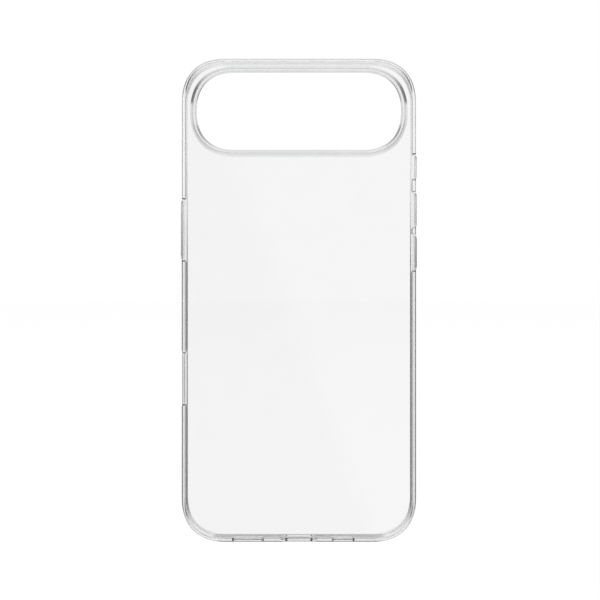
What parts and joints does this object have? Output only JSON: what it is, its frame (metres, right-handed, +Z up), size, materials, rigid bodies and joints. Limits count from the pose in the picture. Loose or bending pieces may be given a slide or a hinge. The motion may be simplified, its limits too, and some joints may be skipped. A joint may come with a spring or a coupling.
{
  "type": "phone case",
  "caption": "Clear hard-backed phone case: flexible frame round a clear panel, raised bezel round a wide camera opening, pressable button covers and edge cut-outs.",
  "frame": {"origin": "middle of the bottom edge, in the middle of the whole depth, on the surface the case stands on", "axes": "+Z up along the case's length, -Y out of its back (camera side), +Y out of its open screen side, +X to the right seen from the back"},
  "size_m": [0.0776, 0.0098, 0.1583],
  "materials": {
    "frame_clear": "clear flexible plastic, polished, faint milkiness where it is thick",
    "panel_clear": "clear hard plastic, polished, flat",
    "bezel_clear": "clear plastic, polished, rounded bead",
    "cover_clear": "clear plastic, polished, soft edges"
  },
  "bodies": {
    "case": {"bumper_frame": "frame_clear", "back_panel": "panel_clear", "camera_ring": "bezel_clear"},
    "side_button": {"side_button_cover": "cover_clear"},
    "action_button": {"action_button_cover": "cover_clear"},
    "volume_up_button": {"volume_up_button_cover": "cover_clear"},
    "volume_down_button": {"volume_down_button_cover": "cover_clear"}
  },
  "joints": [
    {"name": "side_button_press", "type": "slide", "parent": "case", "child": "side_button", "axis": [1, 0, 0], "range_m": [0, 0.0003], "stiffness_N_per_m": 400},
    {"name": "action_button_press", "type": "slide", "parent": "case", "child": "action_button", "axis": [-1, 0, 0], "range_m": [0, 0.0003], "stiffness_N_per_m": 400},
    {"name": "volume_up_button_press", "type": "slide", "parent": "case", "child": "volume_up_button", "axis": [-1, 0, 0], "range_m": [0, 0.0003], "stiffness_N_per_m": 400},
    {"name": "volume_down_button_press", "type": "slide", "parent": "case", "child": "volume_down_button", "axis": [-1, 0, 0], "range_m": [0, 0.0003], "stiffness_N_per_m": 400}
  ]
}
